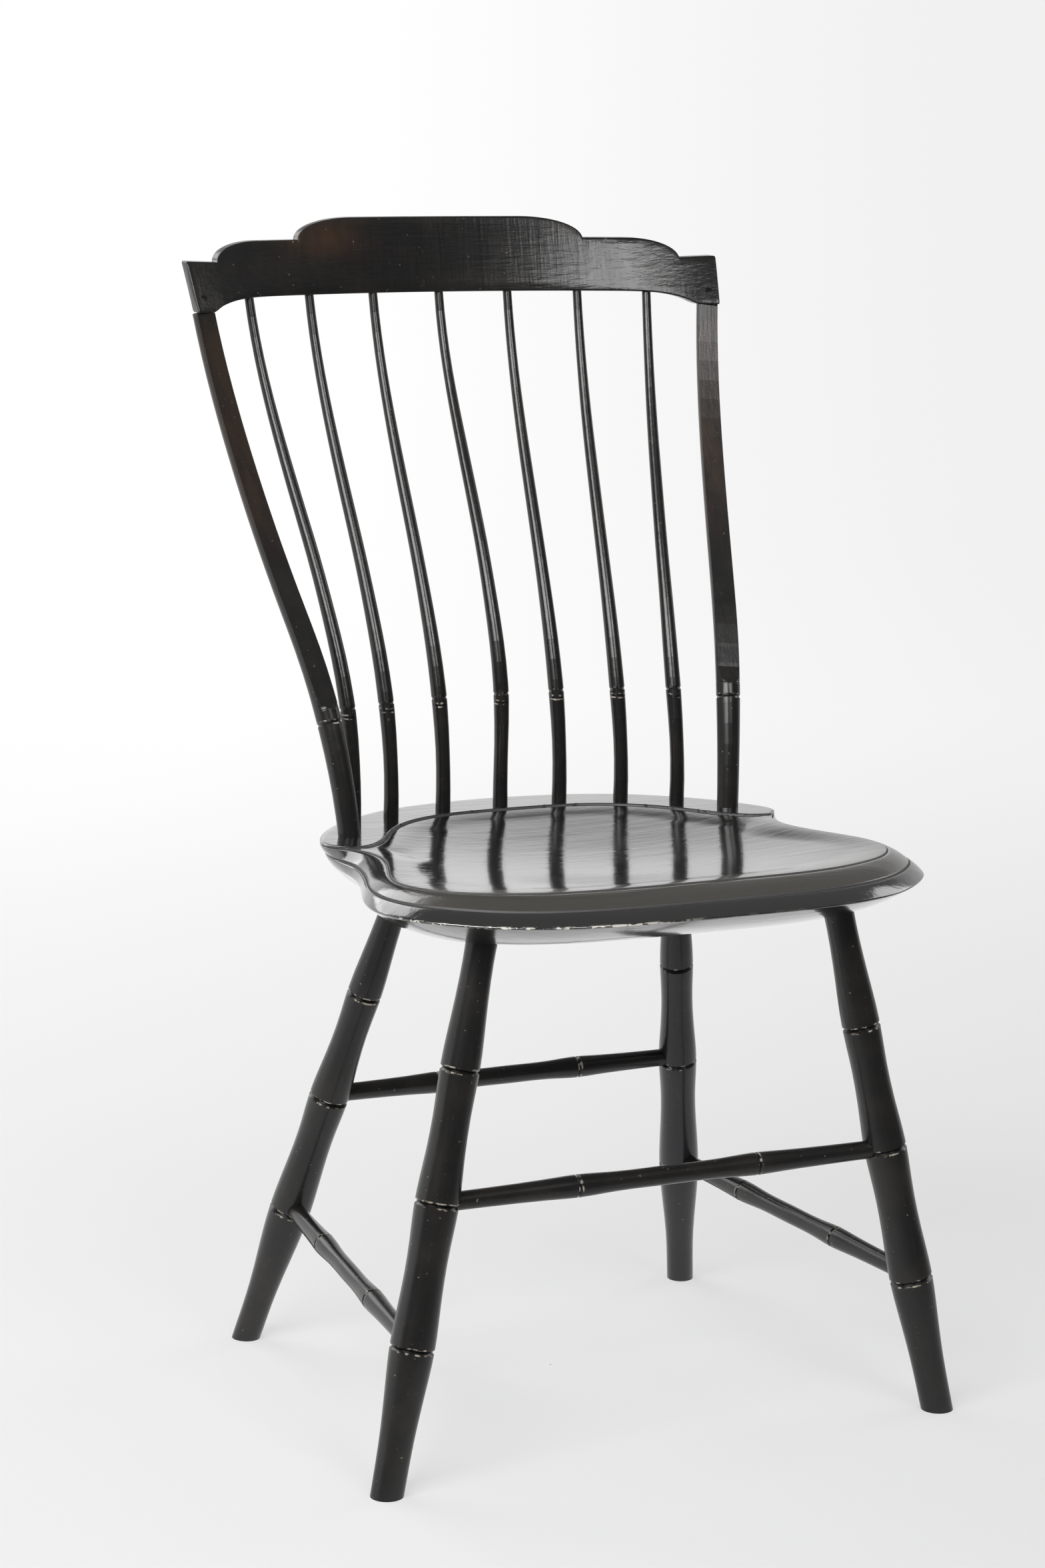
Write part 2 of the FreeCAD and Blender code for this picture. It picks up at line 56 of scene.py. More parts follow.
def makeCamera(place):
    az, el, roll = (radians(place[k]) for k in ("azimuth", "elevation", "roll"))
    back = Vector((sin(az) * cos(el), -cos(az) * cos(el), sin(el)))
    right = Vector((cos(az), sin(az), 0))
    up = back.cross(right)
    turned = (cos(roll) * right + sin(roll) * up, -sin(roll) * right + cos(roll) * up, back)
    data = bpy.data.cameras.new("camera")
    data.sensor_width = place["film"]
    data.lens = place["lens"]
    data.clip_end = place["farthest"]
    camera = bpy.data.objects.new("camera", data)
    columns = Matrix([list(v) for v in turned]).transposed().to_4x4()
    camera.matrix_world = Matrix.Translation(place["position"]) @ columns
    scene.collection.objects.link(camera)
    scene.camera = camera


makeCamera(cameraPlace)
print("camera placed")


# A value on a socket, so that shader maths reads as plain sums
class Reading:
    def __init__(self, sheet, socket):
        self.sheet = sheet
        self.socket = socket

    def combine(self, operation, first, second=0.0, clamp=False):
        settings = {"operation": operation, "use_clamp": clamp}
        return self.sheet.add("ShaderNodeMath", settings, {0: first, 1: second})

    def __add__(self, other):
        return self.combine("ADD", self, other)

    def __radd__(self, other):
        return self.combine("ADD", other, self)

    def __sub__(self, other):
        return self.combine("SUBTRACT", self, other)

    def __rsub__(self, other):
        return self.combine("SUBTRACT", other, self)

    def __mul__(self, other):
        return self.combine("MULTIPLY", self, other)

    def __rmul__(self, other):
        return self.combine("MULTIPLY", other, self)

    def __abs__(self):
        return self.combine("ABSOLUTE", self)

    def largest(self, other):
        return self.combine("MAXIMUM", self, other)

    def held(self):
        # kept between 0 and 1
        return self.combine("ADD", self, clamp=True)

    def eased(self, low, high):
        # 0 at low, 1 at high, smooth between them
        return self.sheet.add("ShaderNodeMapRange", {"interpolation_type": "SMOOTHSTEP"},
                              {"Value": self, "From Min": low, "From Max": high})

    def near(self, middle, inner, outer):
        # 1 within inner of the middle value, 0 past outer
        return 1 - abs(self - middle).eased(inner, outer)


# The nodes of one material, or of the world; all of them come from add()
class Sheet:
    def __init__(self, owner, ending="ShaderNodeOutputMaterial"):
        owner.use_nodes = True
        self.owner = owner
        self.ending = ending
        self.tree = owner.node_tree
        self.tree.nodes.clear()

    def add(self, kind, settings=None, values=None, output=0):
        node = self.tree.nodes.new(kind)
        for key, value in (settings or {}).items():
            setattr(node, key, value)
        for key, value in (values or {}).items():
            if isinstance(value, Reading):
                self.tree.links.new(value.socket, node.inputs[key])
            else:
                node.inputs[key].default_value = value
        return Reading(self, node.outputs[output]) if len(node.outputs) else None

    def close(self, shader):
        self.add(self.ending, None, {"Surface": shader})
        return self.owner

    def place(self):
        return self.add("ShaderNodeTexCoord", output="Object")

    def carried(self, name):
        # a number kept on the piece's own points
        return self.add("ShaderNodeAttribute", {"attribute_name": name}, output="Fac")

    def ray(self, name):
        return self.add("ShaderNodeLightPath", output=name)

    def parts(self, vector):
        return [self.add("ShaderNodeSeparateXYZ", None, {"Vector": vector}, output=axis)
                for axis in range(3)]

    def along(self, vector, direction, start=(0, 0, 0)):
        # distance of the surface point along a direction, from a start point
        shifted = self.add("ShaderNodeVectorMath", {"operation": "SUBTRACT"},
                           {0: vector, 1: tuple(start)})
        return self.add("ShaderNodeVectorMath", {"operation": "DOT_PRODUCT"},
                        {0: shifted, 1: tuple(direction)}, output="Value")

    def joined(self, x, y, z):
        return self.add("ShaderNodeCombineXYZ", None, {"X": x, "Y": y, "Z": z})

    def noise(self, vector, scale, detail, roughness):
        return self.add("ShaderNodeTexNoise", None, {"Vector": vector, "Scale": scale,
                                                     "Detail": detail, "Roughness": roughness})

    def blend(self, factor, first, second):
        # inputs 6 and 7 and output 2 are the Mix node's colours
        return self.add("ShaderNodeMix", {"data_type": "RGBA"},
                        {"Factor": factor, 6: first, 7: second}, output=2)

    def bump(self, height, strength, distance):
        return self.add("ShaderNodeBump", None,
                        {"Height": height, "Strength": strength, "Distance": distance})


def newSheet(name):
    return Sheet(bpy.data.materials.new(name))


# 0 up to t = 0, 1 from t = 1, and 3t^2 - 2t^3 between them
def eased(t):
    t = np.clip(t, 0, 1)
    return t * t * (3 - 2 * t)


# Smooth line through points: on each span a cubic whose slope and bend match its neighbours',
# read at fractional point numbers
def lineThrough(points, at, closed):
    points = np.asarray(points, float)
    n = len(points)
    ahead = np.roll(points, -1, 0) - points
    steps = np.linalg.norm(ahead, axis=1)
    before = np.roll(steps, 1)
    slope = ahead / steps[:, None]
    k = np.arange(n)
    rule = np.diag(2 * (before + steps))
    rule[k, (k - 1) % n] += before
    rule[k, (k + 1) % n] += steps
    turn = 6 * (slope - np.roll(slope, 1, 0))
    if not closed:
        rule[[0, -1]] = np.eye(n)[[0, -1]]
        turn[[0, -1]] = 0
    bend = np.linalg.solve(rule, turn)
    i = np.minimum(np.floor(at).astype(int), n - 1 if closed else n - 2)
    j = (i + 1) % n
    f = (at - i)[:, None]
    h = steps[i][:, None] ** 2 / 6
    return (points[i] * (1 - f) + points[j] * f
            + h * (((1 - f) ** 3 - (1 - f)) * bend[i] + (f ** 3 - f) * bend[j]))


# Skin over closed rings of points (ring, point, xyz): a face between each two neighbours of one
# ring and the next, and at each end a fan to the end ring's middle. The sign of the volume says
# whether the faces point outwards. Each grid in numbers is carried by the points.
def skin(name, rings, numbers=None):
    m, n = rings.shape[:2]
    points = np.concatenate([rings.reshape(-1, 3), rings[[0, -1]].mean(1)])
    row = np.arange(m - 1)[:, None] * n
    j = np.arange(n)[None]
    k = (j + 1) % n
    quads = np.stack([row + j, row + k, row + n + k, row + n + j], -1).reshape(-1, 4)
    j, k = j[0], k[0]
    low = np.stack([k, j, np.full(n, m * n)], -1)
    high = np.stack([(m - 1) * n + j, (m - 1) * n + k, np.full(n, m * n + 1)], -1)
    a, b, c, d = (points[quads[:, q]] for q in range(4))
    volume = np.einsum("ij,ij->", a, np.cross(b, c)) + np.einsum("ij,ij->", a, np.cross(c, d))
    if volume < 0:
        quads, low, high = quads[:, ::-1], low[:, ::-1], high[:, ::-1]
    mesh = bpy.data.meshes.new(name)
    mesh.from_pydata(points.tolist(), [], quads.tolist() + low.tolist() + high.tolist())
    mesh.polygons.foreach_set("use_smooth", np.ones(len(mesh.polygons), bool))
    for key, grid in (numbers or {}).items():
        values = np.concatenate([grid.ravel(), grid[[0, -1]].mean(1)]).astype(np.float32)
        mesh.attributes.new(key, "FLOAT", "POINT").data.foreach_set("value", values)
    mesh.update()
    piece = bpy.data.objects.new(name, mesh)
    scene.collection.objects.link(piece)
    print(name, "has", len(mesh.polygons), "faces")
    return piece


# Plank, in mm: closed lines at these drops below the top's plane, and the gutter's open line,
# each given as its right half from front to back
plank = {
    "topAtBack": 426.0,
    "backY": 311.0,
    "rise": 0.026,                     # the top climbs this much towards the front
    "drops": {"bottom": 39.5, "belly": 18.5, "lower": 9.0, "upper": 1.0},
    "bottom": [(0, -11), (68, -10), (112, -3), (146, 12), (168, 33), (180, 58), (182, 84),
               (174, 112), (165, 138), (158, 160), (154, 182), (154, 204), (154, 222), (149, 238),
               (138, 258), (122, 276), (104, 291), (80, 306), (46, 318), (0, 323)],
    "belly": [(0, -57), (70, -56), (120, -48), (160, -31), (192, -4), (213, 25), (220, 57),
              (214, 92), (202, 124), (192, 152), (186, 180), (184, 203), (182, 220), (177, 238),
              (164, 261), (147, 282), (127, 300), (97, 320), (55, 334), (0, 340)],
    "lower": [(0, -41), (70, -40), (118, -33), (156, -17), (186, 8), (205, 36), (211, 66),
              (206, 98), (195, 129), (187, 156), (184, 182), (187, 204), (187, 220), (182, 238),
              (168, 262), (150, 285), (129, 304), (98, 325), (56, 339), (0, 345)],
    "upper": [(0, -13), (70, -12), (115, -6), (150, 7), (177, 25), (193, 50), (196, 75),
              (188, 103), (177, 130), (170, 155), (171, 180), (182, 200), (191, 215), (187, 235),
              (173, 261), (155, 284), (133, 305), (101, 326), (58, 340), (0, 346)],
    "gutter": [(0, 298), (45, 296), (80, 286), (108, 266), (130, 238), (146, 214), (163, 200),
               (185, 196), (225, 196)],
    "bulge": {"slope": 1.6, "side": 0.7, "band": 1.0},     # outward, at the middle of each face
    "rimDrop": 3.0,
    "dishDrop": 10.0,
    "dishCentre": 135.0,
    "dishHalfWidth": 187.0,
    "dishLengths": (152.0, 168.0),     # to the front, to the back
    "dishPower": 1.5,
    "rollIn": 36.0,                    # width over which the front rim turns down into the dish
    "shelfRound": 3.0,                 # width over which the shelf's edge is rounded
    "backShare": 0.45,                 # share of its depth that the dish keeps at the gutter
    "backReach": 30.0,                 # and how far off it has all of it
    "step": (-0.8, 2.2),               # the drop off the shelf: its start and its width
    "scribe": {"at": 1.2, "width": 0.9, "depth": 0.8, "endFade": 6.0},     # line at its foot
    "groove": {"depth": 0.9, "half": 1.0, "fadeFrom": 195.0, "fadeOver": 25.0},
    "grooveIn": (1.0, 1.2),            # the two grooves, in from the lower and the upper line
    "columns": 600,
    "finer": (2.4, 203.0, 16.0),       # this much closer columns at this y, over this width
    "crowd": (4.0, 6.0, 4.5),          # rings crowd out and in from the gutter, this far from the rim
}


# Height of the top's plane: straight, and a little higher at the front
def seatTop(y):
    return plank["topAtBack"] + plank["rise"] * (plank["backY"] - y)


# One of the closed lines: its half and its mirror image, smoothed, at its drop below the plane
def plankLine(name, at):
    half = np.array(plank[name], float)
    loop = lineThrough(np.concatenate([half, half[1:-1][::-1] * (-1, 1)]), at, True)
    return np.column_stack([loop, seatTop(loop[:, 1]) - plank["drops"][name]])


# Even steps round the plank, closer where the gutter runs out at its sides: equal shares of the
# line's length, weighted by 1 plus a bell round that place
def plankSteps():
    closer, closerAt, over = plank["finer"]
    fine = np.linspace(0, 2 * len(plank["lower"]) - 2, 4000)
    line = plankLine("lower", fine)
    step = np.linalg.norm(np.diff(line, axis=0), axis=1)
    weight = 1 + closer * np.exp(-((line[1:, 1] - closerAt) / over) ** 2)
    total = np.concatenate([[0], np.cumsum(step * weight)])
    return np.interp(np.linspace(0, total[-1], plank["columns"], endpoint=False), total, fine)


gutterHalf = np.array(plank["gutter"], float)
gutterPoints = np.concatenate([gutterHalf[1:][::-1] * (-1, 1), gutterHalf])
gutterLine = lineThrough(gutterPoints, np.linspace(0, len(gutterPoints) - 1, 241), False)
gutterAhead = np.gradient(gutterLine, axis=0)
gutterAhead /= np.linalg.norm(gutterAhead, axis=1, keepdims=True)


# Distance to the gutter's nearest point, above 0 in front of it and below 0 on the shelf
def gutterDistance(x, y):
    gap = (x[..., None] - gutterLine[:, 0]) ** 2 + (y[..., None] - gutterLine[:, 1]) ** 2
    nearest = gap.argmin(-1)
    ahead = gutterAhead[nearest]
    return ((x - gutterLine[nearest, 0]) * ahead[..., 1]
            - (y - gutterLine[nearest, 1]) * ahead[..., 0])


# Top surface. Behind the gutter it is a flat shelf. Before it is an oval dish: its depth is a
# power of 1 - r^2, with r measured against a half width and two lengths, less near the gutter,
# and eased up to the rim. A bell-shaped line is scribed at the foot of the shelf's step.
def topHeight(x, y, edge, gap):
    lengths = np.where(y < plank["dishCentre"], *plank["dishLengths"])
    r = (x / plank["dishHalfWidth"]) ** 2 + ((y - plank["dishCentre"]) / lengths) ** 2
    bowl = np.clip(1 - r, 0, 1) ** plank["dishPower"]
    left = plank["backShare"]
    depth = ((plank["rimDrop"] + plank["dishDrop"] * bowl)
             * (left + (1 - left) * eased(gap / plank["backReach"])))
    rim = plank["drops"]["upper"]
    hollow = rim + (depth - rim) * eased(edge / plank["rollIn"])
    shelf = rim * (1 - eased(edge / plank["shelfRound"]))
    start, width = plank["step"]
    scribe = plank["scribe"]
    line = scribe["depth"] * np.exp(-((gap - scribe["at"]) / scribe["width"]) ** 2)
    return (seatTop(y) - shelf - (hollow - shelf) * eased((gap - start) / width)
            - line * eased(edge / scribe["endFade"]))


# Rings at shares of the way between two lines, each pushed out along the surface's normal
def ringsBetween(first, second, shares, lifts):
    ahead = np.roll(first, -1, 0) - np.roll(first, 1, 0)
    out = np.cross(ahead, second - first)
    out /= np.linalg.norm(out, axis=1, keepdims=True)
    return [first + share * (second - first) + lift * out for share, lift in zip(shares, lifts)]


# Rings of the underside and the edge, from the middle out and up to the top, and each one's zone:
# below 1 underside, 1 to 2 slope, 2 belly line, 2 to 3 dark side, 3 to 4 rounded band. Faces are
# straight between their lines, plus a sine bulge.
def seatSides(lines, centre):
    bottom, belly, lower, upper = (lines[k] for k in ("bottom", "belly", "lower", "upper"))
    bulge, cut = plank["bulge"], plank["groove"]
    rings, zones = [], []

    def keep(group, marks):
        rings.extend(group)
        zones.extend(marks)

    for share in (0.02, 0.3, 0.6, 0.85, 0.96, 0.985, 0.995):
        flat = centre + share * (bottom[:, :2] - centre)
        height = seatTop(flat[:, 1]) - plank["drops"]["bottom"]
        keep([np.column_stack([flat, height])], [share])
    shares = np.array([0.012, 0.05, 0.2, 0.4, 0.6, 0.8, 0.93, 0.97])
    slope = ringsBetween(bottom, belly, shares, bulge["slope"] * np.sin(pi * shares))
    keep(slope, 1 + shares)
    # the belly's crisp turn is a short curve from the slope's last ring to the side's first
    shares = np.array([0.10, 0.2, 0.4, 0.6, 0.8])
    side = ringsBetween(belly, lower, shares, bulge["side"] * np.sin(pi * shares))
    for t in (0.25, 0.5, 0.75):
        turn = (1 - t) ** 2 * slope[-1] + 2 * t * (1 - t) * belly + t * t * side[0]
        keep([turn], [1.97 + 0.13 * t])
    keep(side, 2 + shares)
    # an incised line on each side of the rounded band, both fading out at the shelf's sides
    fade = cut["depth"] * (1 - eased((lower[:, 1:2] - cut["fadeFrom"]) / cut["fadeOver"]))
    offsets = np.array([-1.0, -0.5, 0.0, 0.5, 1.0]) * cut["half"]
    depths = [-fade * share for share in (0.0, 0.6, 1.0, 0.6, 0.0)]

    def groove(first, second, inset):
        span = np.linalg.norm(second - first, axis=1, keepdims=True)
        return ringsBetween(first, second, [1 + (o - inset) / span for o in offsets], depths)

    keep(groove(belly, lower, plank["grooveIn"][0]), [2.90, 2.93, 2.95, 2.97, 3.0])
    shares = np.array([0.06, 0.14, 0.25, 0.4, 0.55, 0.7, 0.82])
    keep(ringsBetween(lower, upper, shares, bulge["band"] * np.sin(pi * shares)), 3 + shares)
    keep(groove(lower, upper, plank["grooveIn"][1]), [3.90, 3.93, 3.95, 3.97, 3.99])
    return np.array(rings), np.array(zones)


# Rings of the top, in from the upper line on straight rays to the dish's centre. They crowd where
# each ray crosses the gutter, or just inside the rim where it crosses none.
def seatTopRings(upper, centre):
    outside, inside, least = plank["crowd"]
    ray = upper[:, :2] - centre
    reach = np.linalg.norm(ray, axis=1)[:, None]
    probe = np.linspace(0.3, 1, 90)
    spots = centre + probe[None, :, None] * ray[:, None]
    behind = gutterDistance(spots[..., 0], spots[..., 1]) < 0
    crossing = np.where(behind.any(1), probe[behind.argmax(1)], 1.0)[:, None]
    crossing = np.minimum(crossing, 1 - least / reach)
    outer, inner = crossing + outside / reach, crossing - inside / reach
    shares = np.concatenate([1 + (outer - 1) * np.linspace(0, 1, 12, endpoint=False),
                             outer + (inner - outer) * np.linspace(0, 1, 22, endpoint=False),
                             inner * (1 - np.linspace(0, 0.985, 44))], 1)
    flat = centre + shares[..., None] * ray[:, None]
    x, y = flat[..., 0], flat[..., 1]
    edge = (1 - shares) * reach
    gap = gutterDistance(x, y)
    top = np.stack([x, y, topHeight(x, y, edge, gap)], -1)
    return [grid.swapaxes(0, 1) for grid in (top, edge, gap)]


# The top's zone runs from 4 at its edge to 5 at 100 mm in, and its gutter distance is carried too
def makeSeat():
    at = plankSteps()
    centre = np.array([0, plank["dishCentre"]])
    lines = {name: plankLine(name, at) for name in plank["drops"]}
    rings, zones = seatSides(lines, centre)
    top, edge, gap = seatTopRings(lines["upper"], centre)
    far = np.full(rings.shape[:2], 99.0)
    zone = np.concatenate([np.repeat(zones[:, None], len(at), 1), 4 + np.clip(edge / 100, 0, 1)])
    numbers = {"zone": zone, "gutter": np.concatenate([far, gap])}
    piece = skin("seat_plank", np.concatenate([rings, top]) * mm + (0, rowShift, 0), numbers)
    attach(piece, "root")
    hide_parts("seat")
    return piece


seatPlank = makeSeat()


# Crest, in mm: a bent, leaning board with two stepped lobes on each side. Places on it are given
# as x and the height above its low edge.
crest = {
    "lowZ": 817.5,
    "middleY": 444.5,
    "height": 58.5,
    "notch": (124.2, 42.0),
    "step": (200.5, 27.0),
    "endTop": (229.4, 28.5),
    "endLow": (225.4, -9.5),
    "endDrop": (209.7, 70.0, 4),   # the low edge drops up to this x, over this width, by a power
    "endBack": (1.2, 195.0, 30.0),     # the low corners swing back: how far, from x, over a width
    "endThick": (0.7, 130.0, 85.0),    # thicker faces over the pins: how much, from x, over a width
    "lobes": (50.0, 38.0),
    "bows": (600.0, 880.0),        # radius at the low edge, and at the top
    "lean": 0.21,
    "thickness": 11.5,
    "taper": 0.012,
    "edge": 1.5,                   # radius of every edge
    "spare": 15.0,                 # the two bows lie this far below and above the board
}


# Crest's middle surface: two bows, one below and one above the board, joined by straight lines
def crestMiddle(x, z):
    levels = (crest["endLow"][1] - crest["spare"], crest["height"] + crest["spare"])
    depths, radii = [], []
    for level in levels:
        share = level / crest["height"]
        radius = 1 / ((1 - share) / crest["bows"][0] + share / crest["bows"][1])
        bow = np.sqrt(radius ** 2 - x ** 2) - radius
        depths.append(crest["middleY"] + crest["lean"] * level + bow)
        radii.append(radius)
    share = (z - levels[0]) / (levels[1] - levels[0])
    return [low * (1 - share) + high * share for low, high in (depths, radii)]


# Half outline of the top: flat, then quarter ellipses that end upright at the notch and the step
def crestStations():
    nx, nz = crest["notch"]
    sx, sz = crest["step"]
    ex, ez = crest["endTop"]
    big, small = crest["lobes"]
    turn = np.linspace(0, pi / 2, 15)
    xs = [np.linspace(0, nx - big, 14, endpoint=False), nx - big + big * np.sin(turn),
          np.linspace(nx + 0.3, sx - small, 7, endpoint=False), sx - small + small * np.sin(turn),
          np.linspace(sx + 0.3, ex - crest["edge"], 9),
          ex - crest["edge"] * np.array([0.6, 0.25, 0.05])]
    zs = [np.full(14, crest["height"]), nz + (crest["height"] - nz) * np.cos(turn),
          np.full(7, nz), sz + (nz - sz) * np.cos(turn), np.linspace(sz, ez, 9), np.full(3, ez)]
    return np.concatenate(xs), np.concatenate(zs)


# The board is one section carried along x. Its points go up the front face, over two rounded
# edges, down the back face and under two more. Their height is a share of the way from the low
# edge to the outline, and their depth the middle surface's plus half a thickness along its normal.
def makeCrest():
    x, high = crestStations()
    x = np.concatenate([-x[:0:-1], x])[:, None]
    high = np.concatenate([high[:0:-1], high])[:, None]
    dropEnd, dropOver, dropPower = crest["endDrop"]
    low = crest["endLow"][1] * np.clip((abs(x) - dropEnd + dropOver) / dropOver, 0, 1) ** dropPower
    # the last few stations tuck in by a quarter circle, which rounds the ends
    r = crest["edge"]
    past = (abs(x) - (crest["endTop"][0] - r)) / r
    tuck = r * (1 - np.sqrt(1 - np.clip(past, 0, 0.999) ** 2))
    high, low = high - tuck, low + tuck
    # the section, point by point: its share of the height, its turns up and out at the rounded
    # edges, and -1 on the front's side or 1 on the back's
    face = np.linspace(0, 1, 10)[1:-1]
    a = np.linspace(0, pi / 2, 6)
    b = a[::-1]
    straight, corners = np.zeros(len(face)), np.ones(len(a) * 2)
    share = np.concatenate([face, corners, face[::-1], corners * 0])
    rise = np.concatenate([straight, np.sin(a), np.sin(b), straight, -np.sin(a), -np.sin(b)])
    out = np.concatenate([straight - 1, -np.cos(a), np.cos(b),
                          straight + 1, np.cos(a), -np.cos(b)])
    sign = np.repeat([-1, 1, -1], [len(face) + len(a), len(a) * 2 + len(face), len(a)])
    z = low + r + share * (high - low - 2 * r) + r * rise
    thick, thickFrom, thickOver = crest["endThick"]
    half = (crest["thickness"] / 2 - crest["taper"] * z - tuck
            + thick * eased((abs(x) - thickFrom) / thickOver))
    side = sign * (half - r) + r * out
    middle, radius = crestMiddle(np.broadcast_to(x, z.shape), z)
    # each end slants in to its low corner, which also swings back
    (topX, topZ), (lowX, lowZ) = crest["endTop"], crest["endLow"]
    down = (topZ - z) / (topZ - lowZ)
    back, backFrom, backOver = crest["endBack"]
    swing = back * np.clip((abs(x) - backFrom) / backOver, 0, 1) ** 2 * np.clip(down, 0, 1) ** 2
    y = middle + swing + side / np.sqrt(1 - (x / radius) ** 2)
    outward = np.clip((abs(x) - crest["step"][0]) / (topX - crest["step"][0]), 0, 1)
    slanted = x - np.sign(x) * (topX - lowX) * down * outward
    grid = np.stack([slanted, y, z + crest["lowZ"]], -1)
    piece = skin("crest_board", grid * mm + (0, rowShift, 0))
    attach(piece, "root")
    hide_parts("crest_rail")
    return piece


crestBoard = makeCrest()

# Black paint, one recipe for every member
paint = {
    "black": (0.0100, 0.0095, 0.0092, 1),
    # painted reflection: a bluer black for the back right leg, standing in for the sky it mirrors
    "skyReflectionTint": (0.0125, 0.0130, 0.0150, 1),      # the same on the back right leg
    "thin": (0.022, 0.0195, 0.0165, 1),       # where the coat is thin
    "umber": (0.058, 0.030, 0.015, 1),        # where hands have rubbed it through
    "ground": (0.40, 0.36, 0.29, 1),          # pale ground that shows on chipped edges
    "pale": (0.62, 0.59, 0.52, 1),            # the same on the plank, scraped cleaner
    "olive": (0.042, 0.038, 0.029, 1),        # the plank's front band
    # painted shade: near black in the plank's scribed and incised lines
    "grooveShade": (0.002, 0.002, 0.002, 1),         # in the plank's grooves
    # painted shade: near black inside the turned rings
    "ringGrooveShade": (0.003, 0.003, 0.003, 1),
    "film": 1.5,                              # the dry paint's index
}

# Noises of that paint: scale per metre, detail, roughness
grain = {
    "streaks": (420.0, 4.0, 0.6),
    "coarse": (90.0, 3.0, 0.55),
    "blotches": (26.0, 4.0, 0.6),
    "chips": (330.0, 3.0, 0.6),
    "broken": (190.0, 3.0, 0.6),       # breaks up the wear on the rings' edges
    "crossed": (300.0, 3.0, 0.6),
    "squeeze": 0.07,                   # along the streaks, and along the crossed ones
    "crossedSqueeze": 0.06,
}


# Streaks run along the member: noise read on a space squeezed along its own direction
def streakSpace(sheet, point, direction, start, squeeze):
    axis = Vector(direction).normalized()
    side = axis.orthogonal().normalized()
    third = axis.cross(side)
    t = sheet.along(point, axis, start)
    across = (sheet.along(point, side, start), sheet.along(point, third, start))
    return t, sheet.joined(*across, t * squeeze)


# A member's paint. Marks are its turned rings, as distances from the start; rubbed gives the
# share of paint that is worn brown; crossed is the way of a second set of streaks.
def paintedWood(name, direction, start, finish, marks=(), rubbed=None, tone="black", crossed=None):
    sheet = newSheet(name)
    point = sheet.place()
    t, stretched = streakSpace(sheet, point, direction, start, grain["squeeze"])
    streaks = sheet.noise(stretched, *grain["streaks"])
    coarse = sheet.noise(stretched, *grain["coarse"])
    blotches = sheet.noise(point, *grain["blotches"])
    thin = (blotches.eased(0.42, 0.72) * 0.5 + streaks.eased(0.5, 0.8) * 0.3).held()
    colour = sheet.blend(thin, paint[tone], paint["thin"])
    if rubbed is not None:
        brown = rubbed(sheet, point) * (coarse.eased(0.30, 0.62) * 0.6 + 0.4)
        colour = sheet.blend(brown.held(), colour, paint["umber"])
    # chips: a few anywhere, and more on both edges of each turned ring
    chip = sheet.noise(point, *grain["chips"]).eased(0.70, 0.735) * finish["chips"]
    if marks:
        width = finish["ringWidth"]
        broken = sheet.noise(point, *grain["broken"]).eased(0.50, 0.62) * 0.85
        offsets = [abs(t - mark) for mark in marks]
        inside = [1 - offset.eased(0.0, width) for offset in offsets]
        for offset in offsets:
            chip = chip.largest(offset.near(width, 0.0002, 0.0009) * broken)
    colour = sheet.blend(chip.held(), colour, paint["ground"])
    # painted shade: the inside of each turned ring is painted near black
    if marks:
        cut = inside[0]
        for ring in inside[1:]:
            cut = cut.largest(ring)
        colour = sheet.blend(cut, colour, paint["ringGrooveShade"])
    height = streaks * 0.5 + coarse * 0.8 - chip
    if crossed is not None:
        turned = streakSpace(sheet, point, crossed, start, grain["crossedSqueeze"])[1]
        height = height + sheet.noise(turned, *grain["crossed"]) * 0.8
    roughness = (finish["gloss"] + coarse * 0.10 + streaks * 0.08 + chip * 0.3).held()
    return sheet.close(sheet.add("ShaderNodeBsdfPrincipled", None, {
        "Base Color": colour, "Roughness": roughness, "IOR": paint["film"],
        "Normal": sheet.bump(height, 0.6, finish["relief"])}))


def dress(name, material):
    for slot in nodes[name].material_slots:
        slot.material = material


# Legs as lines: foot and top as x and y from the front feet's row, and rings at these distances
# up from the foot (m)
legs = {
    "leg_front_left": {"foot": (-0.2295, 0.001), "top": (-0.1457, 0.0364),
                       "rings": (0.107, 0.212, 0.309), "tone": "black"},
    "leg_front_right": {"foot": (0.2295, 0.001), "top": (0.1457, 0.0364),
                        "rings": (0.107, 0.212, 0.309), "tone": "black"},
    "leg_back_left": {"foot": (-0.1956, 0.353), "top": (-0.1172, 0.2378),
                      "rings": (0.1205, 0.223, 0.315), "tone": "black"},
    # the back right leg takes the bluer black, a painted reflection of the sky
    "leg_back_right": {"foot": (0.1956, 0.353), "top": (0.1172, 0.2378),
                       "rings": (0.1205, 0.223, 0.315), "tone": "skyReflectionTint"},
}
legFinish = {"gloss": 0.15, "chips": 0.4, "relief": 0.00022, "ringWidth": 0.0019}


# A leg runs straight from its foot on the floor to the plank's underside
def legLine(name):
    footX, footY = legs[name]["foot"]
    topX, topY = legs[name]["top"]
    underside = (seatTop(topY / mm) - plank["drops"]["bottom"]) * mm
    return Vector((footX, footY + rowShift, 0)), Vector((topX, topY + rowShift, underside))


for name, leg in legs.items():
    low, high = legLine(name)
    dress(name, paintedWood(name + "_paint", high - low, low, legFinish, leg["rings"],
                            tone=leg["tone"]))

# Stretchers: the legs they join, at which of their rings, and how far above it (m)
stretchers = {
    "stretcher_front": ("leg_front_left", "leg_front_right", 1, 0.0),
    "stretcher_rear": ("leg_back_left", "leg_back_right", 1, 0.0025),
    "stretcher_left": ("leg_front_left", "leg_back_left", 0, 0.0025),
    "stretcher_right": ("leg_front_right", "leg_back_right", 0, 0.0025),
}
stretcherFinish = {"gloss": 0.12, "chips": 0.4, "relief": 0.00022, "ringWidth": 0.0014}
stretcherRings = (0.30, 0.70)      # shares of the length


def ringPoint(name, ring, above):
    low, high = legLine(name)
    return low + (high - low).normalized() * (legs[name]["rings"][ring] + above)


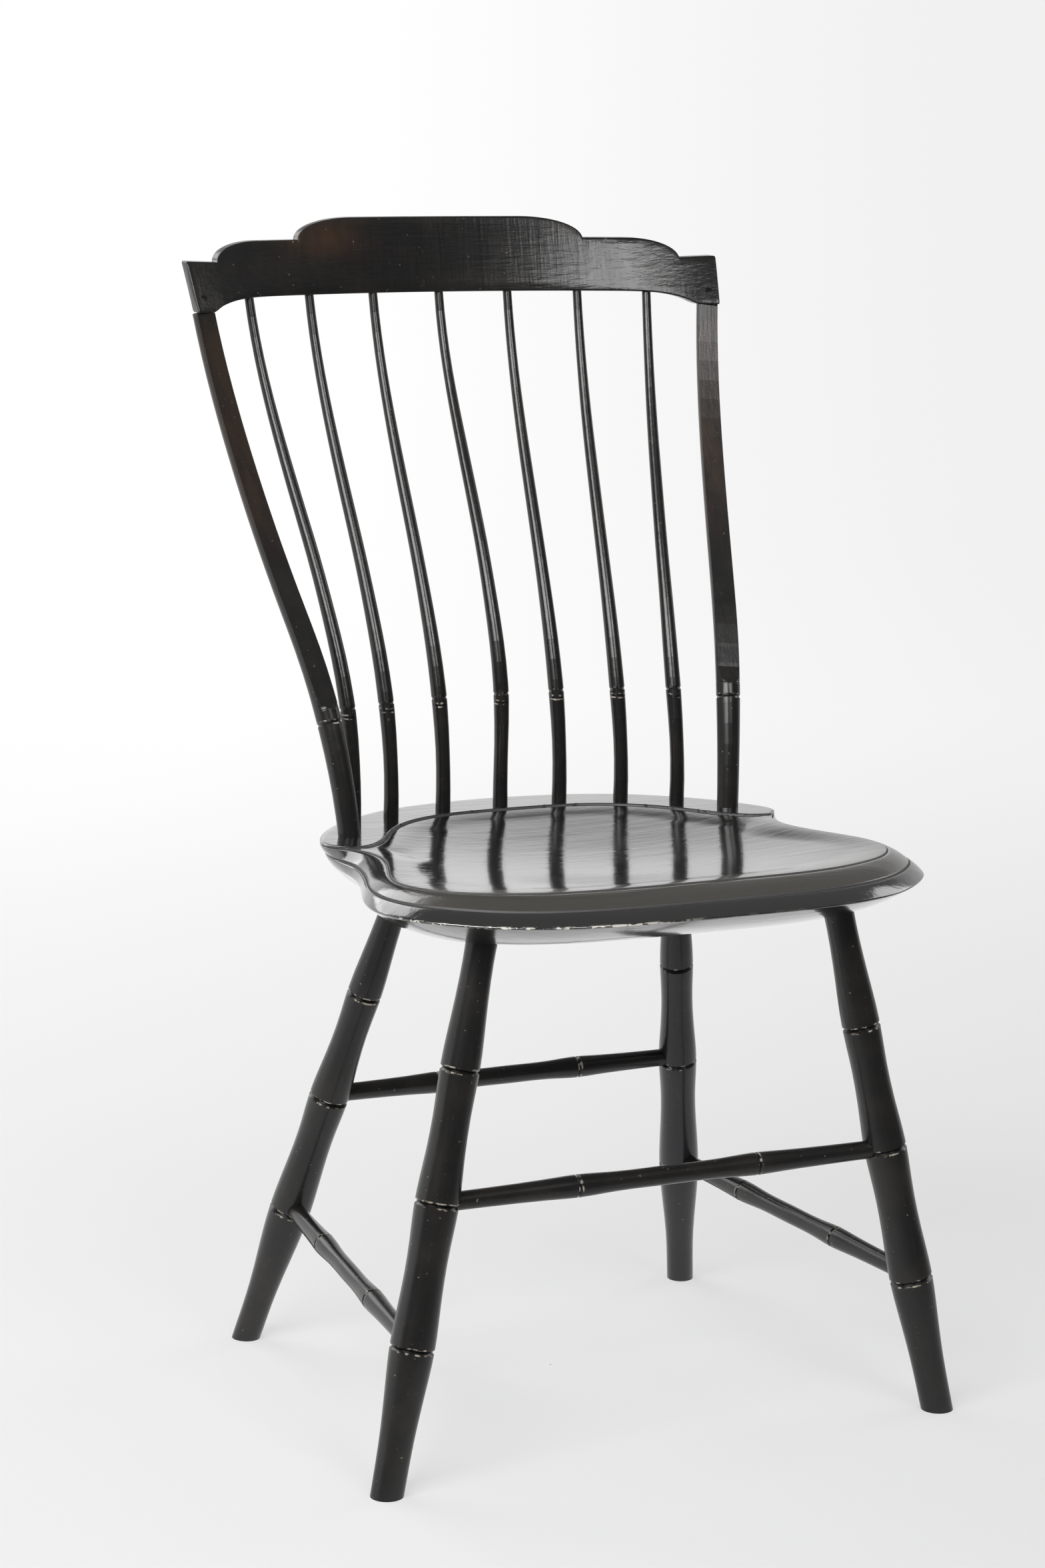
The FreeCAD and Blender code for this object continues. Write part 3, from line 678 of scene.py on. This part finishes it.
for name, (first, second, ring, above) in stretchers.items():
    low, high = ringPoint(first, ring, above), ringPoint(second, ring, above)
    rings = [share * (high - low).length for share in stretcherRings]
    dress(name, paintedWood(name + "_paint", high - low, low, stretcherFinish, rings))

# Spindles: y of each foot from the front feet's row, and the ring's height above the plank (m)
spindles = {"feet": (0.2805, 0.300, 0.3108, 0.313, 0.3108, 0.300, 0.2805), "ringUp": 0.0823}
spindleFinish = {"gloss": 0.12, "chips": 0.25, "relief": 0.00022, "ringWidth": 0.0014}
for k, foot in enumerate(spindles["feet"]):
    name = "spindle_%d" % (k + 1)
    ring = seatTop(foot / mm) * mm + spindles["ringUp"]
    dress(name, paintedWood(name + "_paint", (0, 0, 1), (0, 0, 0), spindleFinish, (ring,)))

# Posts: foot and way of the left one, its ring, and the band of heights where it is rubbed brown
posts = {
    "foot": (-0.162, 0.237),
    "way": (-0.101, 0.236, 0.966),
    "rings": (0.087,),
    "rubbedFrom": (0.60, 0.69),
    "rubbedTo": (0.78, 0.81),
    "rubbedShare": 0.35,
}
postFinish = {"gloss": 0.16, "chips": 0.4, "relief": 0.0004, "ringWidth": 0.0014}


def postRubbed(sheet, point):
    z = sheet.parts(point)[2]
    return z.eased(*posts["rubbedFrom"]) * (1 - z.eased(*posts["rubbedTo"])) * posts["rubbedShare"]


for name, mirror in (("back_post_left", 1), ("back_post_right", -1)):
    wayX, wayY, wayZ = posts["way"]
    footX, footY = posts["foot"]
    foot = (footX * mirror, footY + rowShift, seatTop(footY / mm) * mm)
    dress(name, paintedWood(name + "_paint", (wayX * mirror, wayY, wayZ), foot, postFinish,
                            posts["rings"], rubbed=postRubbed))

crestFinish = {
    "gloss": 0.12,
    "chips": 0.4,
    "relief": 0.0004,
    "rubbedAt": (-0.105, 0.860),       # x and z of a soft brown patch on the big lobe (m)
    "rubbedSize": (0.06, 0.024),
    "rubbedShare": 0.55,
}


def crestRubbed(sheet, point):
    x, _, z = sheet.parts(point)
    middleX, middleZ = crestFinish["rubbedAt"]
    width, height = crestFinish["rubbedSize"]
    patch = x.near(middleX, 0.0, width) * z.near(middleZ, 0.0, height)
    return patch * crestFinish["rubbedShare"]


crestPaint = paintedWood("crest_paint", (0, 0.2, 1), (0, 0, 0), crestFinish, rubbed=crestRubbed,
                         crossed=(1, 0, 0))
crestBoard.data.materials.append(crestPaint)
dress("crest_pins", crestPaint)

seatFinish = {
    "roughness": 0.07,
    "film": 2.2,                   # index of the polished paint
    "coat": 0.7,
    "coatRoughness": 0.10,
    "relief": 0.00014,
    "front": (-0.19, -0.12),       # the olive band and the chips end between these y
    "specks": (-0.235, -0.09),     # from here to here in x the belly's edge is chipped most
    "streaks": (520.0, 4.0, 0.65),     # noises: scale per metre, detail, roughness
    "coarse": (110.0, 3.0, 0.55),
    "waves": (28.0, 2.0, 0.5),
    "broken": (210.0, 3.0, 0.65),
    "fine": (120.0, 4.0, 0.65),
    "squeeze": 0.045,
}


# The plank's paint: brushed from side to side, polished on top, olive on the front band, near
# black in the grooves as painted shade, and chipped along the belly's edge. Places on it are told by
# the zones.
def seatPaint(name, finish):
    sheet = newSheet(name)
    point = sheet.place()
    zone = sheet.carried("zone")
    gap = sheet.carried("gutter")
    x, y, z = sheet.parts(point)
    t, stretched = streakSpace(sheet, point, (1, 0, 0), (0, 0, 0), finish["squeeze"])
    streaks = sheet.noise(stretched, *finish["streaks"])
    coarse = sheet.noise(stretched, *finish["coarse"])
    waves = sheet.noise(sheet.joined(y, z, x * 0.5), *finish["waves"])
    fine = sheet.noise(point, *finish["fine"])
    front = 1 - y.eased(*finish["front"])
    band = zone.eased(2.96, 3.02) * (1 - zone.eased(4.10, 4.36)) * front
    colour = sheet.blend(band * 0.9, paint["black"], paint["olive"])
    colour = sheet.blend((streaks.eased(0.52, 0.75) * 0.4).held(), colour, paint["thin"])
    # the scribed line and the incised lines are painted near black: painted shade in the grooves
    scribed = gap.near(1.0, 0.5, 1.8) * 0.9
    incised = zone.near(2.96, 0.03, 0.08).largest(zone.near(3.95, 0.02, 0.05))
    colour = sheet.blend(scribed.largest(incised * 0.85), colour, paint["grooveShade"])
    broken = sheet.noise(sheet.joined(t * 0.45, y, z), *finish["broken"]).eased(0.50, 0.58)
    speckFrom, speckTo = finish["specks"]
    speckled = x.eased(speckFrom, speckFrom + 0.03) * (1 - x.eased(speckTo, 0.0) * 0.95)
    chip = zone.near(2.03, 0.02, 0.10) * broken * speckled * front
    colour = sheet.blend(chip.held(), colour, paint["pale"])
    lines = scribed.largest(incised)
    roughness = (finish["roughness"] + streaks * 0.06 + coarse * 0.05 + band * 0.10
                 + lines * 0.5 + chip * 0.4).held()
    height = streaks * 0.7 + coarse * 4.5 + waves * 8.0 + fine * 2.0 - chip
    return sheet.close(sheet.add("ShaderNodeBsdfPrincipled", None, {
        "Base Color": colour, "Roughness": roughness, "IOR": finish["film"],
        "Coat Weight": (1 - lines) * finish["coat"], "Coat Roughness": finish["coatRoughness"],
        "Normal": sheet.bump(height, 0.6, finish["relief"])}))


seatPlank.data.materials.append(seatPaint("seat_paint", seatFinish))

wedgeWood = {
    "light": (0.42, 0.27, 0.14, 1),
    "dark": (0.30, 0.17, 0.08, 1),
    "rings": (600.0, 4.0, 0.55),
    "squeeze": 0.05,
}


def bareWood(name, wood):
    sheet = newSheet(name)
    x, y, z = sheet.parts(sheet.place())
    rings = sheet.noise(sheet.joined(x, y, z * wood["squeeze"]), *wood["rings"])
    return sheet.close(sheet.add("ShaderNodeBsdfPrincipled", None, {
        "Base Color": sheet.blend(rings, wood["light"], wood["dark"]),
        "Roughness": 0.5 + rings * 0.2, "Normal": sheet.bump(rings, 0.3, 0.0003)}))


dress("leg_wedges", bareWood("bare_wood", wedgeWood))
print("paint on every member")

# Studio: a round bowl of pale paper and the air above it (m)
studio = {
    "radius": 6.0,
    "bendRadius": 1.5,
    "height": 3.4,
    "paper": (0.88, 0.88, 0.885, 1),
    "deep": (0.44, 0.90, 0),         # away from the camera
    "deepFade": (-0.6, 3.0),
    "aside": (0.90, -0.44, 0),       # to the camera's right
    "asideFade": (-1.0, 1.0),
    # what the camera sees: a painted white glow in this share, painted lighter far off and darker to
    # the right as painted shade; the rest is lit paper with its shadows
    "seen": 0.60,
    "near": 0.865,                   # that white on the floor before the chair
    "farGain": 0.17,                 # its gain far off
    "rightLoss": 0.155,              # its loss to the right
    # what polished paint mirrors: a painted glow, the same white from behind, dim from before the
    # chair
    "mirrored": 0.97,
    "behind": (-1.2, 0.6),           # dim up to the first y, full from the second
    "dim": 0.12,
    "fade": (1.2, 3.4),              # from here to here in z it loses a share
    "fadeLoss": 0.45,
    "mirroredRight": (-0.2, 1.6),    # and the same to the right
    "mirroredRightLoss": 0.4,
    "air": 0.30,                     # strength of the air's light, mirrored, and seen
    "airMirrored": 0.18,
    "airSeen": 0.95,
}


# Lit paper, mixed with a painted white glow of its own for camera rays and for mirrored ones
def paperMaterial(s):
    sheet = newSheet("paper")
    point = sheet.place()
    ray = sheet.ray("Is Camera Ray")
    shiny = sheet.ray("Is Glossy Ray")
    _, y, z = sheet.parts(point)
    away = sheet.along(point, s["deep"]).eased(*s["deepFade"])
    aside = sheet.along(point, s["aside"])
    level = ((y.eased(*s["behind"]) * (1 - s["dim"]) + s["dim"])
             * (1 - z.eased(*s["fade"]) * s["fadeLoss"])
             * (1 - aside.eased(*s["mirroredRight"]) * s["mirroredRightLoss"]))
    seen = s["near"] + away * s["farGain"] - aside.eased(*s["asideFade"]) * s["rightLoss"]
    white = sheet.blend(level * (1 - ray) + ray * seen, (0, 0, 0, 1), (1, 1, 1, 1))
    share = (ray * (s["seen"] + away * (1 - s["seen"]))).largest(shiny * s["mirrored"])
    diffuse = sheet.add("ShaderNodeBsdfDiffuse", None, {"Color": s["paper"]})
    glow = sheet.add("ShaderNodeEmission", None, {"Color": white, "Strength": 1.0})
    return sheet.close(sheet.add("ShaderNodeMixShader", None, {0: share, 1: diffuse, 2: glow}))


# A flat floor, a quarter circle up and an upright wall, carried round a full turn
def makeBowl(s):
    r = s["bendRadius"]
    a = np.linspace(0, pi / 2, 20)
    reach = np.concatenate([[0.001, 1.5, 3.0], s["radius"] - r + r * np.sin(a), [s["radius"]]])
    rise = np.concatenate([[0.0, 0.0, 0.0], r - r * np.cos(a), [s["height"]]])
    turn = np.linspace(0, 2 * pi, 96, endpoint=False)
    points = np.stack([reach[:, None] * np.cos(turn), reach[:, None] * np.sin(turn),
                       np.repeat(rise[:, None], len(turn), 1)], -1).reshape(-1, 3)
    row = np.arange(len(reach) - 1)[:, None] * len(turn)
    j = np.arange(len(turn))
    k = (j + 1) % len(turn)
    faces = np.stack([row + k, row + len(turn) + k, row + len(turn) + j, row + j], -1)
    faces = faces.reshape(-1, 4).tolist() + [j.tolist()]
    mesh = bpy.data.meshes.new("paper_bowl")
    mesh.from_pydata(points.tolist(), [], faces)
    mesh.polygons.foreach_set("use_smooth", np.ones(len(mesh.polygons), bool))
    bowl = bpy.data.objects.new("paper_bowl", mesh)
    scene.collection.objects.link(bowl)
    mesh.materials.append(paperMaterial(s))


# The air lights at one strength, is mirrored at a lower one and seen nearly white
def makeAir(s):
    scene.world = bpy.data.worlds.new("studio_air")
    sheet = Sheet(scene.world, "ShaderNodeOutputWorld")
    level = s["air"]
    for ray, strength in (("Is Glossy Ray", s["airMirrored"]), ("Is Camera Ray", s["airSeen"])):
        level = sheet.add("ShaderNodeMapRange", None,
                          {"Value": sheet.ray(ray), "To Min": level, "To Max": strength})
    sheet.close(sheet.add("ShaderNodeBackground", None, {"Color": (1, 1, 1, 1), "Strength": level}))


makeBowl(studio)
makeAir(studio)

# Soft lamps: place, what they aim at, size (m) and power (W)
lamps = {
    "key": {"place": (-2.9, -2.0, 2.8), "aim": (0, 0, 0.6), "size": (3.0, 1.4), "power": 130},
    "back": {"place": (-1.2, 2.8, 2.6), "aim": (0, 0, 0.5), "size": (2.4, 2.4), "power": 40},
    "side": {"place": (3.1, 0.4, 2.0), "aim": (0, 0, 0.5), "size": (1.6, 1.6), "power": 14},
    "near": {"place": (0.12, -2.75, 2.5), "aim": (0.1, 0.2, 0.8), "size": (1.2, 0.7), "power": 26},
}


def addLamp(name, lamp):
    data = bpy.data.lights.new(name, "AREA")
    data.shape = "RECTANGLE"
    data.size, data.size_y = lamp["size"]
    data.energy = lamp["power"]
    light = bpy.data.objects.new(name, data)
    place = Vector(lamp["place"])
    light.location = place
    light.rotation_euler = (place - Vector(lamp["aim"])).to_track_quat("Z", "Y").to_euler()
    scene.collection.objects.link(light)


for name, lamp in lamps.items():
    addLamp(name, lamp)
scene.view_settings.view_transform = "Standard"
print("studio lit")
